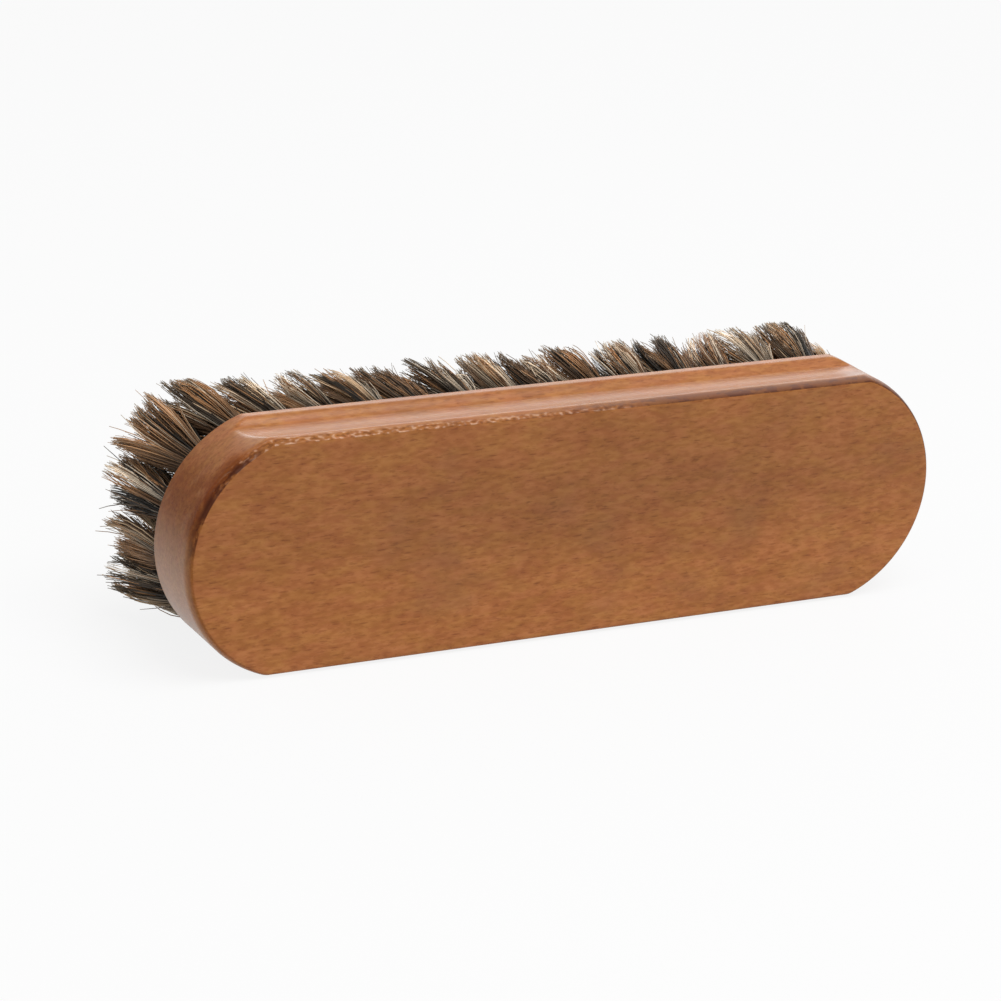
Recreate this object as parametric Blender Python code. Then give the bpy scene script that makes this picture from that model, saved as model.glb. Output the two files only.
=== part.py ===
"""Horsehair brush for cleaning leather, lying on one long side.

One shaped beech block carries 58 tufts, each in its own blind hole. X runs along the brush, the flat
back faces -Y, the hair points to +Y and Z runs up across the width. The origin is on the surface that
the brush lies on, under its middle. All lengths are in metres.
"""

import math

import bmesh
import bpy
from mathutils import Matrix, Vector

# Block
BLOCK_LENGTH = 0.170
BLOCK_WIDTH = 0.049
BLOCK_THICKNESS = 0.0175
END_BULGE = 0.0173  # from the corners, where the end's arc starts, to its outermost point
BACK_EDGE_ROUND = 0.0011
FACE_EDGE_ROUND = 0.0005
END_ARC_STEPS = 32
EDGE_ROUND_STEPS = 3

# Finger groove along each long side
GROOVE_DEPTH = 0.0015
BACK_LAND = 0.0026  # wood left full width beside the back, its rounded edge included
LIP_THICKNESS = 0.0019  # wood left full width beside the tufts, its rounded edge included
GROOVE_STEEP_RUN = 0.0034  # from the lip to the deepest line
GROOVE_RAMP_STEPS = 8
GROOVE_STEEP_STEPS = 5

# Holes and the knots of hair in them
HOLE_DIAMETER = 0.0046
HOLE_DEPTH = 0.0103
HOLE_SIDES = 12
CLEARANCE = 0.0003
ANCHOR_SPAN = 0.0058  # flattened wire, over both ends
ANCHOR_THICKNESS = 0.0005
ANCHOR_HEIGHT = 0.0020

# Where the tufts stand
EDGE_INSET = 0.0060  # from the block's outline to the ring of tufts that follows it
EDGE_TUFTS = 36
MIDDLE_TUFTS = 11  # in each of the two rows inside the ring
MIDDLE_ROW_SPACING = 0.0120
MIDDLE_END_GAP = 0.0135  # from the ring's outermost point to the last tuft of a middle row

# The hair outside the block
HAIR_LENGTH = 0.0245
SIDE_FLARE = 0.0008  # how much further out the ring of tips stands than the ring of roots
END_FLARE = 0.0025
TIP_END_BULGE = 0.0035  # the ring of tips has blunter ends than the block
STRANDS_PER_TUFT = 6
STRAND_SPACING = 0.00024  # at the root
TIP_SPACING = 0.0012  # between the strands of neighbouring tufts
SIDE_MARGIN = 0.0004  # the tips stay this far inside the block's width, so that the block bears on the surface
INNER_STRAND_REACH = 0.42  # as a share of the outer strands' reach from the tuft's axis
STRAND_TIP_SHARE = 1.25  # of the strand's width at its root: a lock of hair spreads
STRAND_MIDDLE_SHARE = 1.10
STRAND_MIDDLE_REACH = 0.36  # of the way out, half way up, so that outer strands curve outwards
OUTER_STRAND_SHORTFALL = 0.0010

# Room that a cutter takes outside the wood
CUTTER_MARGIN = 0.0030

MATERIALS = {
    "varnished_beech": {"colour": (0.319, 0.126, 0.049, 1.0), "roughness": 0.38},
    "horsehair": {"colour": (0.085, 0.052, 0.034, 1.0), "roughness": 0.62},
}


def clear_scene():
    for obj in list(bpy.data.objects):
        bpy.data.objects.remove(obj, do_unlink=True)


def make_material(name):
    material = bpy.data.materials.new(name)
    material.use_nodes = True
    shader = material.node_tree.nodes["Principled BSDF"]
    shader.inputs["Base Color"].default_value = MATERIALS[name]["colour"]
    shader.inputs["Roughness"].default_value = MATERIALS[name]["roughness"]
    shader.inputs["Metallic"].default_value = 0.0
    return material


def make_frame():
    """The empty that carries every piece: its Y is 0 on the block's back, and its Z is 0 on its axis."""
    frame = bpy.data.objects.new("brush_frame", None)
    frame.location = (0.0, -(BLOCK_THICKNESS + HAIR_LENGTH) / 2, BLOCK_WIDTH / 2)
    bpy.context.scene.collection.objects.link(frame)
    return frame


def add_object(name, mesh, frame, material=None):
    obj = bpy.data.objects.new(name, mesh)
    obj.parent = frame
    bpy.context.scene.collection.objects.link(obj)
    if material is not None and not mesh.materials:
        mesh.materials.append(material)
    return obj


def add_cutter(name, mesh, frame):
    cutter = add_object(name, mesh, frame)
    cutter.hide_render = True
    cutter.display_type = "WIRE"
    return cutter


def mesh_from(bm, name):
    bmesh.ops.recalc_face_normals(bm, faces=bm.faces)
    mesh = bpy.data.meshes.new(name)
    bm.to_mesh(mesh)
    bm.free()
    return mesh


class Outline:
    """A long shape with straight sides along X and an arc at each end, in the X-Z plane."""

    def __init__(self, half_length, half_width, bulge):
        self.half_length = half_length
        self.half_width = half_width
        self.bulge = bulge
        self.radius = (half_width**2 + bulge**2) / (2 * bulge)
        self.centre = half_length - self.radius
        self.sweep = math.atan2(half_width, self.radius - bulge)
        self.straight = 2 * (half_length - bulge)
        self.round = 2 * self.radius * self.sweep
        self.length = 2 * (self.straight + self.round)

    def on_end(self, side, angle):
        """A point of the end on this side, at an angle up from the axis."""
        x = self.centre + self.radius * math.cos(angle)
        return side * x, self.radius * math.sin(angle)

    def at(self, share):
        """The point at this share of the way round, from the middle of the +X end over the top."""
        way = share * self.length - self.round / 2
        if way < 0:
            return self.on_end(1, self.sweep + way / self.radius)
        if way < self.straight:
            return self.straight / 2 - way, self.half_width
        way -= self.straight
        if way < self.round:
            return self.on_end(-1, self.sweep - way / self.radius)
        way -= self.round
        if way < self.straight:
            return way - self.straight / 2, -self.half_width
        way -= self.straight
        return self.on_end(1, way / self.radius - self.sweep)

    def corners(self, steps):
        """The whole outline as points, with each arc in this many steps."""
        points = []
        for side in (1, -1):
            for step in range(steps + 1):
                angle = side * self.sweep * (2 * step / steps - 1)
                points.append(self.on_end(side, angle))
        return points


def block_mesh(outline):
    """The block before its grooves and holes: the outline drawn out from the back, its edges rounded."""
    bm = bmesh.new()
    back_edge = [bm.verts.new((x, 0.0, z)) for x, z in outline.corners(END_ARC_STEPS)]
    back = bm.faces.new(back_edge)
    drawn = bmesh.ops.extrude_face_region(bm, geom=[back], use_keep_orig=True)
    moved = [item for item in drawn["geom"] if isinstance(item, bmesh.types.BMVert)]
    bmesh.ops.translate(bm, verts=moved, vec=(0.0, BLOCK_THICKNESS, 0.0))
    bmesh.ops.recalc_face_normals(bm, faces=bm.faces)
    for height, width in ((0.0, BACK_EDGE_ROUND), (BLOCK_THICKNESS, FACE_EDGE_ROUND)):
        rim = [e for e in bm.edges if all(abs(v.co.y - height) < width / 2 for v in e.verts)]
        bmesh.ops.bevel(
            bm,
            geom=rim,
            offset=width,
            segments=EDGE_ROUND_STEPS,
            profile=0.5,
            affect="EDGES",
            clamp_overlap=True,
        )
    return mesh_from(bm, "wood_block")


def groove_profile():
    """(y, depth) along the groove's bottom, from outside the crest by the back to the foot of the lip."""
    lip = BLOCK_THICKNESS - LIP_THICKNESS
    deepest = lip - GROOVE_STEEP_RUN
    ramp = deepest - BACK_LAND
    points = []
    for step in range(-1, GROOVE_RAMP_STEPS):
        run = 1 - step / GROOVE_RAMP_STEPS
        points.append((deepest - ramp * run, GROOVE_DEPTH * (1 - run**2)))
    for step in range(GROOVE_STEEP_STEPS + 1):
        angle = math.pi / 2 * step / GROOVE_STEEP_STEPS
        points.append((deepest + GROOVE_STEEP_RUN * math.sin(angle), GROOVE_DEPTH * math.cos(angle)))
    return points


def groove_cutter_mesh():
    """Both grooves' cutters, each longer than the block, so that the groove runs out into the ends."""
    half_width = BLOCK_WIDTH / 2
    reach = BLOCK_LENGTH / 2 + CUTTER_MARGIN
    profile = groove_profile()
    first_y = profile[0][0]
    last_y = profile[-1][0]
    bm = bmesh.new()
    for side in (1, -1):
        section = [(y, half_width - depth) for y, depth in profile]
        section.append((last_y, half_width + CUTTER_MARGIN))
        section.append((first_y, half_width + CUTTER_MARGIN))
        start = [bm.verts.new((-reach, y, side * z)) for y, z in section]
        face = bm.faces.new(start)
        drawn = bmesh.ops.extrude_face_region(bm, geom=[face], use_keep_orig=True)
        moved = [item for item in drawn["geom"] if isinstance(item, bmesh.types.BMVert)]
        bmesh.ops.translate(bm, verts=moved, vec=(2 * reach, 0.0, 0.0))
    return mesh_from(bm, "groove_cutter")


def tuft_axes(root, tip, roots):
    """The tuft's frame: Z leaves the hole's mouth along the hair, and Y points away from the block's axis."""
    along = Vector((tip[0] - root[0], HAIR_LENGTH, tip[1] - root[1])).normalized()
    core = min(max(root[0], -roots.centre), roots.centre)
    outward = Vector((root[0] - core, 0.0, root[1]))
    outward = (outward - along * outward.dot(along)).normalized()
    turn = Matrix((outward.cross(along), outward, along)).transposed().to_4x4()
    return Matrix.Translation((root[0], BLOCK_THICKNESS, root[1])) @ turn


def tuft_places(outline):
    """(name, matrix, reach of its strands from its own axis) of each tuft."""
    half_length = outline.half_length - EDGE_INSET
    half_width = outline.half_width - EDGE_INSET
    roots = Outline(half_length, half_width, outline.bulge * half_width / outline.half_width)
    tips = Outline(half_length + END_FLARE, half_width + SIDE_FLARE, TIP_END_BULGE)
    to_side = outline.half_width - tips.half_width - SIDE_MARGIN
    edge_reach = min((tips.length / EDGE_TUFTS - TIP_SPACING) / 2, to_side)

    places = []
    for number in range(EDGE_TUFTS):
        share = (number + 0.5) / EDGE_TUFTS
        places.append((f"edge_tuft_{number + 1:02d}", roots.at(share), tips.at(share), edge_reach))

    row_half = half_length - MIDDLE_END_GAP
    pitch = 2 * row_half / (MIDDLE_TUFTS - 1)
    to_edge_row = half_width - MIDDLE_ROW_SPACING / 2
    middle_reach = (min(pitch, MIDDLE_ROW_SPACING, to_edge_row) - TIP_SPACING) / 2
    for row, side in enumerate((1, -1)):
        for step in range(MIDDLE_TUFTS):
            number = row * MIDDLE_TUFTS + step + 1
            x = step * pitch - row_half
            z = side * MIDDLE_ROW_SPACING / 2
            tip = (x * tips.half_length / half_length, z * tips.half_width / half_width)
            places.append((f"middle_tuft_{number:02d}", (x, z), tip, middle_reach))

    return [(name, tuft_axes(root, tip, roots), reach) for name, root, tip, reach in places]


def knot_radius():
    return HOLE_DIAMETER / 2 - CLEARANCE


def knot_side():
    """Distance from the knot's axis to its flat sides."""
    return knot_radius() * math.cos(math.pi / STRANDS_PER_TUFT)


def anchor_width_at_wall():
    """The anchor's ends narrow from the knot's side to the wire's thickness: their width at the hole's wall."""
    knot_width = 2 * knot_radius() * math.sin(math.pi / STRANDS_PER_TUFT)
    share = (HOLE_DIAMETER / 2 - knot_side()) / (ANCHOR_SPAN / 2 - knot_side())
    return knot_width + (ANCHOR_THICKNESS - knot_width) * min(max(share, 0.0), 1.0)


def hole_cutter_mesh(places):
    bm = bmesh.new()
    length = HOLE_DEPTH + CUTTER_MARGIN
    middle = Matrix.Translation((0.0, 0.0, CUTTER_MARGIN - length / 2))
    for _, matrix, _ in places:
        bmesh.ops.create_cone(
            bm,
            cap_ends=True,
            segments=HOLE_SIDES,
            radius1=HOLE_DIAMETER / 2,
            radius2=HOLE_DIAMETER / 2,
            depth=length,
            matrix=matrix @ middle,
        )
    return mesh_from(bm, "hole_cutter")


def slot_cutter_mesh(places):
    """The slots that the anchors' ends have cut in the holes' walls, just above the holes' bottoms."""
    bm = bmesh.new()
    size = (
        anchor_width_at_wall() + 2 * CLEARANCE,
        ANCHOR_SPAN + 2 * CLEARANCE,
        ANCHOR_HEIGHT + 2 * CLEARANCE,
    )
    lift = CLEARANCE + ANCHOR_HEIGHT / 2 - HOLE_DEPTH
    box = Matrix.Translation((0.0, 0.0, lift)) @ Matrix.Diagonal((*size, 1.0))
    for _, matrix, _ in places:
        bmesh.ops.create_cube(bm, size=1.0, matrix=matrix @ box)
    return mesh_from(bm, "slot_cutter")


def cut(obj, cutter):
    boolean = obj.modifiers.new(cutter.name, "BOOLEAN")
    boolean.operation = "DIFFERENCE"
    boolean.solver = "EXACT"
    boolean.object = cutter


def add_knot(bm):
    """The doubled end of the tuft in its hole, with the anchor's two ends standing out of it."""
    depth = HOLE_DEPTH - CLEARANCE
    bmesh.ops.create_cone(
        bm,
        cap_ends=True,
        cap_tris=True,
        segments=STRANDS_PER_TUFT,
        radius1=knot_radius(),
        radius2=knot_radius(),
        depth=depth,
        matrix=Matrix.Translation((0.0, 0.0, -depth / 2)),
    )
    anchor_top = ANCHOR_HEIGHT - depth
    bmesh.ops.bisect_plane(
        bm,
        geom=list(bm.verts) + list(bm.edges) + list(bm.faces),
        plane_co=(0.0, 0.0, anchor_top),
        plane_no=(0.0, 0.0, 1.0),
    )
    bm.normal_update()
    ends = [
        face
        for face in bm.faces
        if abs(face.normal.y) > math.cos(math.pi / STRANDS_PER_TUFT / 2)
        and face.calc_center_median().z < anchor_top
    ]
    for face in bmesh.ops.extrude_discrete_faces(bm, faces=ends)["faces"]:
        side = math.copysign(1.0, face.calc_center_median().y)
        width = max(v.co.x for v in face.verts) - min(v.co.x for v in face.verts)
        for vert in face.verts:
            vert.co.y = side * ANCHOR_SPAN / 2
            vert.co.x *= ANCHOR_THICKNESS / width


def move_section(face, centre, share):
    """Puts a strand's section at a place, at this share of its width."""
    old = face.calc_center_median()
    for vert in face.verts:
        vert.co = centre + (vert.co - old) * share


def add_strands(bm, reach):
    """A strand out of each face of the knot's top: every other one stands out to the reach and curves."""
    bm.normal_update()
    roots = [f for f in bm.faces if f.normal.z > 0.9 and abs(f.calc_center_median().z) < CLEARANCE / 2]
    roots.sort(key=lambda f: math.atan2(f.calc_center_median().y, f.calc_center_median().x))
    bmesh.ops.inset_individual(bm, faces=roots, thickness=STRAND_SPACING / 2, use_even_offset=True)
    for number, root in enumerate(roots):
        start = root.calc_center_median()
        outward = Vector((start.x, start.y, 0.0)).normalized()
        outer = number % 2 == 0
        section = root
        height = HAIR_LENGTH
        tip_reach = reach * INNER_STRAND_REACH
        if outer:
            height = HAIR_LENGTH - OUTER_STRAND_SHORTFALL
            tip_reach = reach - start.length * STRAND_TIP_SHARE / 2
            section = bmesh.ops.extrude_discrete_faces(bm, faces=[section])["faces"][0]
            half_way = start.length + (tip_reach - start.length) * STRAND_MIDDLE_REACH
            centre = outward * half_way + Vector((0.0, 0.0, height / 2))
            move_section(section, centre, STRAND_MIDDLE_SHARE)
        taper = STRAND_TIP_SHARE / STRAND_MIDDLE_SHARE if outer else STRAND_TIP_SHARE
        section = bmesh.ops.extrude_discrete_faces(bm, faces=[section])["faces"][0]
        move_section(section, outward * tip_reach + Vector((0.0, 0.0, height)), taper)


def tuft_mesh(name, reach):
    bm = bmesh.new()
    add_knot(bm)
    add_strands(bm, reach)
    return mesh_from(bm, name)


def make_block(outline, places, frame, material):
    block = add_object("wood_block", block_mesh(outline), frame, material)
    cut(block, add_cutter("groove_cutter", groove_cutter_mesh(), frame))
    cut(block, add_cutter("hole_cutter", hole_cutter_mesh(places), frame))
    cut(block, add_cutter("slot_cutter", slot_cutter_mesh(places), frame))
    block.data.shade_smooth()
    block.data.set_sharp_from_angle(angle=math.radians(30))
    return block


def make_tufts(places, frame, material):
    """Tufts of the same reach share one mesh."""
    meshes = {}
    for name, matrix, reach in places:
        if reach not in meshes:
            meshes[reach] = tuft_mesh(name.rsplit("_", 1)[0], reach)
        tuft = add_object(name, meshes[reach], frame, material)
        tuft.matrix_local = matrix


def main():
    clear_scene()
    frame = make_frame()
    beech = make_material("varnished_beech")
    horsehair = make_material("horsehair")
    outline = Outline(BLOCK_LENGTH / 2, BLOCK_WIDTH / 2, END_BULGE)
    places = tuft_places(outline)
    make_block(outline, places, frame, beech)
    make_tufts(places, frame, horsehair)


main()
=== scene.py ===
"""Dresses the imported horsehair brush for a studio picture.

A finer beech block with its lacquer, 58 full tufts of mixed horsehair and the wires that hold them
stand in the place of the CAD solids, on a pale floor. All lengths are in metres unless a name or a
docstring says otherwise. X runs along the brush, the flat back faces -Y, the hair points to +Y and
Z runs up across the brush's width.
"""

from __future__ import annotations

import logging
import math
from dataclasses import dataclass, field
from enum import Enum

import bmesh
import bpy
import numpy as np
from mathutils import Matrix, Vector, noise


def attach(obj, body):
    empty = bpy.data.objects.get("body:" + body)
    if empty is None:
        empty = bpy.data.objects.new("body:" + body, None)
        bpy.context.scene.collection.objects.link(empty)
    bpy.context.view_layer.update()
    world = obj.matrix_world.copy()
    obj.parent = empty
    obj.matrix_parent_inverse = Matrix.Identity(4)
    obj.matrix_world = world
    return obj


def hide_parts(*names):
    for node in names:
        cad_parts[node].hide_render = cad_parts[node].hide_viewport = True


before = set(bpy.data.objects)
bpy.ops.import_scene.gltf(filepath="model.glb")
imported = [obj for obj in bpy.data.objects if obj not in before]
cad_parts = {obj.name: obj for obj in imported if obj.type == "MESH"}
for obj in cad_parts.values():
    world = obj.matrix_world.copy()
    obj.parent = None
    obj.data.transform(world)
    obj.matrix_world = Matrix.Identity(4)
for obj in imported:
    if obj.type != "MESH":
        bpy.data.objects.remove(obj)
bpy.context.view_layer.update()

log = logging.getLogger("horsehair_brush")

Point = tuple[float, float]
Span = tuple[float, float]
Window = tuple[Span, Span]
Triple = tuple[float, float, float]
Colour = tuple[float, float, float]
Socket = bpy.types.NodeSocket

MM = 0.001
NOISE_SPAN: Span = (0.30, 0.70)  # where most of a noise's values lie
HAIR_SIDES = 3
OFF_HAIRS: Triple = (0.31, 0.11, 0.94)  # a direction that no hair runs along


@dataclass(frozen=True)
class BarOutline:
    """A long outline in the X-Z plane, with straight sides along X and an arc at each end."""

    half_length: float
    half_width: float
    bulge: float

    @property
    def radius(self) -> float:
        """Radius of the arc at each end."""
        return (self.half_width**2 + self.bulge**2) / (2 * self.bulge)

    @property
    def centre(self) -> float:
        """X of the arc's centre at the +X end."""
        return self.half_length - self.radius

    @property
    def sweep(self) -> float:
        """Half of the arc's angle."""
        return math.atan2(self.half_width, self.radius - self.bulge)

    @property
    def straight(self) -> float:
        """Length of one straight side."""
        return 2 * (self.half_length - self.bulge)

    @property
    def round(self) -> float:
        """Length of one arc."""
        return 2 * self.radius * self.sweep

    @property
    def length(self) -> float:
        """Length of the whole outline."""
        return 2 * (self.straight + self.round)

    def on_end(self, side: int, angle: float) -> Point:
        """A point of the end on this side of the middle, at an angle up from the axis."""
        return side * (self.centre + self.radius * math.cos(angle)), self.radius * math.sin(angle)

    def at(self, share: float) -> Point:
        """Finds a point by how far round the outline it is.

        Args:
            share: Share of the way round, from the middle of the +X end over the top.

        Returns:
            X and Z of the point.
        """
        way = share * self.length - self.round / 2
        if way < 0:
            return self.on_end(1, self.sweep + way / self.radius)
        if way < self.straight:
            return self.straight / 2 - way, self.half_width
        way -= self.straight
        if way < self.round:
            return self.on_end(-1, self.sweep - way / self.radius)
        way -= self.round
        if way < self.straight:
            return way - self.straight / 2, -self.half_width
        way -= self.straight
        return self.on_end(1, way / self.radius - self.sweep)


class TuftKind(Enum):
    """Which part of the brush a tuft stands in."""

    EDGE = "edge"
    MIDDLE = "middle"


@dataclass(frozen=True)
class TuftSite:
    """Where one tuft stands: its hole's mouth and the middle of its trimmed tips, both as X and Z."""

    number: int
    node: str
    kind: TuftKind
    root: Point
    tip: Point
    axes: Matrix


@dataclass(frozen=True)
class BrushPlan:
    """The brush's driving sizes, the same as the CAD solids', and the places that follow from them."""

    length: float = 0.170
    width: float = 0.049
    thickness: float = 0.0175
    end_bulge: float = 0.0173
    hair_length: float = 0.0245
    hole_diameter: float = 0.0046
    hole_depth: float = 0.0103
    edge_inset: float = 0.0060
    edge_tufts: int = 36
    middle_tufts: int = 11
    middle_row_spacing: float = 0.0120
    middle_end_gap: float = 0.0135
    side_flare: float = 0.0008
    end_flare: float = 0.0025
    tip_end_bulge: float = 0.0035

    @property
    def back(self) -> float:
        """Y of the flat back."""
        return -(self.thickness + self.hair_length) / 2

    @property
    def face(self) -> float:
        """Y of the face that the hair grows from."""
        return self.back + self.thickness

    @property
    def axis(self) -> float:
        """Z of the block's middle, above the floor that it lies on."""
        return self.width / 2

    @property
    def outline(self) -> BarOutline:
        """The block's own outline."""
        return BarOutline(self.length / 2, self.width / 2, self.end_bulge)

    def site(
        self, number: int, node: str, kind: TuftKind, root: Point, tip: Point, core: float
    ) -> TuftSite:
        """Works out one tuft's own axes.

        Args:
            number: The tuft's place in the order of all tufts.
            node: Name of the CAD node that the tuft replaces.
            kind: Edge or middle.
            root: X and Z of the hole's mouth, from the block's middle.
            tip: X and Z of the middle of the tips, from the block's middle.
            core: Half of the line that the tufts face away from, along X.

        Returns:
            The site, with Z of its axes out of the hole along the hair and Y away from the core.
        """
        along = Vector((tip[0] - root[0], self.hair_length, tip[1] - root[1])).normalized()
        nearest = min(max(root[0], -core), core)
        outward = Vector((root[0] - nearest, 0.0, root[1]))
        outward = (outward - along * outward.dot(along)).normalized()
        turn = Matrix((outward.cross(along), outward, along)).transposed().to_4x4()
        mouth = Matrix.Translation((root[0], self.face, root[1] + self.axis))
        return TuftSite(number, node, kind, root, tip, mouth @ turn)

    def sites(self) -> list[TuftSite]:
        """Works out the place of each tuft.

        Returns:
            The ring of edge tufts, and then the two rows inside it.
        """
        half_length = self.length / 2 - self.edge_inset
        half_width = self.width / 2 - self.edge_inset
        roots = BarOutline(half_length, half_width, self.end_bulge * half_width / (self.width / 2))
        tips = BarOutline(half_length + self.end_flare, half_width + self.side_flare, self.tip_end_bulge)
        found = []
        for number in range(self.edge_tufts):
            share = (number + 0.5) / self.edge_tufts
            node = f"edge_tuft_{number + 1:02d}"
            ends = (roots.at(share), tips.at(share))
            found.append(self.site(len(found), node, TuftKind.EDGE, *ends, roots.centre))
        row_half = half_length - self.middle_end_gap
        pitch = 2 * row_half / (self.middle_tufts - 1)
        spread = (tips.half_length / half_length, tips.half_width / half_width)
        for row, side in enumerate((1, -1)):
            for step in range(self.middle_tufts):
                node = f"middle_tuft_{row * self.middle_tufts + step + 1:02d}"
                root = (step * pitch - row_half, side * self.middle_row_spacing / 2)
                tip = (root[0] * spread[0], root[1] * spread[1])
                found.append(self.site(len(found), node, TuftKind.MIDDLE, root, tip, roots.centre))
        return found


class NodeBench:
    """Lays out the shader nodes of one material, or of the world."""

    BLUE_WARMTH = 2.5

    def __init__(self, owner: bpy.types.Material | bpy.types.World) -> None:
        """Starts with an empty node tree.

        Args:
            owner: The material or world that the nodes are for.
        """
        owner.use_nodes = True
        self.owner = owner
        self.tree = owner.node_tree
        self.tree.nodes.clear()

    def node(self, kind: str, feeds: dict | None = None, **settings: object) -> bpy.types.Node:
        """Adds a node.

        Args:
            kind: The node's type without its ShaderNode prefix.
            feeds: What goes into its inputs, by name or number: a socket or a plain value.
            settings: The node's own properties.

        Returns:
            The new node.
        """
        made = self.tree.nodes.new("ShaderNode" + kind)
        for name, value in settings.items():
            setattr(made, name, value)
        for key, value in (feeds or {}).items():
            if isinstance(value, Socket):
                self.tree.links.new(value, made.inputs[key])
            else:
                made.inputs[key].default_value = value
        return made

    def maths(self, operation: str, *values: Socket | float) -> Socket:
        """Puts values through Math nodes of one operation, each with the result before it.

        Args:
            operation: The nodes' operation.
            values: Two or more sockets or plain values.

        Returns:
            The last node's result.
        """
        result = values[0]
        for value in values[1:]:
            result = self.node("Math", {0: result, 1: value}, operation=operation).outputs[0]
        return result

    def times(self, *values: Socket | float) -> Socket:
        """The product of two or more values."""
        return self.maths("MULTIPLY", *values)

    def band(self, value: Socket, span: Span, to: Span = (0.0, 1.0)) -> Socket:
        """A smooth step of a value: to[0] below the span and to[1] above it."""
        feeds = dict(zip(("From Min", "From Max", "To Min", "To Max"), (*span, *to)), Value=value)
        return self.node("MapRange", feeds, interpolation_type="SMOOTHSTEP").outputs["Result"]

    def fall(self, value: Socket, span: Span) -> Socket:
        """A smooth step of a value from 1 below the span to 0 above it."""
        return self.band(value, span, (1.0, 0.0))

    def window(self, value: Socket, spans: Window) -> Socket:
        """1 between a smooth rise and a smooth fall of a value, and 0 outside them."""
        return self.times(self.band(value, spans[0]), self.fall(value, spans[1]))

    def between(self, share: Socket, first: Socket | float, second: Socket | float) -> Socket:
        """A value on the way from the first to the second."""
        return self.node("Mix", {0: share, 2: first, 3: second}, data_type="FLOAT").outputs[0]

    def scaled(self, vector: Socket, by: Triple) -> Socket:
        """A vector multiplied by another, part by part."""
        return self.node("VectorMath", {0: vector, 1: by}, operation="MULTIPLY").outputs["Vector"]

    def noise(self, point: Socket, cells: Triple, detail: float = 2.0, rough: float = 0.5) -> Socket:
        """A noise texture's value, by its cells in a unit of length along each axis."""
        feeds = {"Vector": self.scaled(point, cells), "Scale": 1.0, "Detail": detail, "Roughness": rough}
        return self.node("TexNoise", feeds).outputs["Fac"]

    def blend(
        self, share: Socket | float, first: Socket | Colour, second: Socket | Colour, mode: str = "MIX"
    ) -> Socket:
        """Mixes two colours: the share says how much of the second shows on the first."""
        feeds = {0: share, 6: opaque(first), 7: opaque(second)}
        return self.node("Mix", feeds, data_type="RGBA", blend_type=mode).outputs[2]

    def dimmed(self, colour: Socket, by: Socket, warmth: float = 0.0) -> Socket:
        """Makes a colour lighter or darker.

        Args:
            colour: The colour.
            by: The factor.
            warmth: How much more the factor does to green and, above all, to blue.

        Returns:
            The changed colour.
        """
        green = self.maths("POWER", by, 1.0 + warmth)
        blue = self.maths("POWER", by, 1.0 + self.BLUE_WARMTH * warmth)
        tint = self.node("CombineColor", {"Red": by, "Green": green, "Blue": blue}).outputs["Color"]
        return self.blend(1.0, colour, tint, "MULTIPLY")

    def steps(self, value: Socket, colours: list[Colour]) -> Socket:
        """Picks one of several colours.

        Args:
            value: From 0 to 1, which is shared out evenly among the colours.
            colours: The colours in order.

        Returns:
            The picked colour.
        """
        made = self.node("ValToRGB", {"Fac": value})
        made.color_ramp.interpolation = "CONSTANT"
        elements = made.color_ramp.elements
        while len(elements) < len(colours):
            elements.new(1.0)
        for number, colour in enumerate(colours):
            elements[number].position = number / len(colours)
            elements[number].color = opaque(colour)
        return made.outputs["Color"]

    def seen(self) -> Socket:
        """Tells what is looked at from what only sends its light.

        Returns:
            1 where the eye looks straight, in a reflection or through glass, and 0 otherwise.
        """
        rays = self.node("LightPath").outputs
        names = ("Is Camera Ray", "Is Glossy Ray", "Is Transmission Ray")
        return self.maths("MAXIMUM", *(rays[name] for name in names))

    def finish(
        self, shader: Socket, output: str = "OutputMaterial"
    ) -> bpy.types.Material | bpy.types.World:
        """Sends a shader to the output node, and returns the material or world."""
        self.node(output, {"Surface": shader})
        return self.owner


def opaque(colour: Socket | Colour) -> Socket | tuple[float, ...]:
    """A plain colour with its alpha, or a socket as it is."""
    return colour if isinstance(colour, Socket) else (*colour, 1.0)


class BlockPlace:
    """The place on the block that its shader colours, as sockets in millimetres."""

    def __init__(self, bench: NodeBench, plan: BrushPlan) -> None:
        """Reads the place from the block's own coordinates.

        Args:
            bench: Where the nodes go.
            plan: Sizes, which say where the back is.
        """
        self.bench = bench
        self.point = bench.scaled(bench.node("TexCoord").outputs["Object"], (1 / MM, 1 / MM, 1 / MM))
        self.x, y, self.z = bench.node("SeparateXYZ", {"Vector": self.point}).outputs
        self.from_middle = bench.maths("ABSOLUTE", self.x, 0.0)
        self.depth = bench.maths("SUBTRACT", y, plan.back / MM)


@dataclass(frozen=True)
class NoiseLayer:
    """One scale of variation in the finish: its noise's shape, and the tones that it is turned to.

    The cells are numbers per millimetre along X, Y and Z, and the span is the part of the noise's
    values over which the tone changes.
    """

    cells: Triple
    detail: float
    rough: float
    span: Span = NOISE_SPAN
    to: Span = (0.0, 1.0)

    def raw(self, place: BlockPlace) -> Socket:
        """The noise itself."""
        return place.bench.noise(place.point, self.cells, self.detail, self.rough)

    def tone(self, place: BlockPlace) -> Socket:
        """The noise turned to its tones."""
        return place.bench.band(self.raw(place), self.span, self.to)


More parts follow.
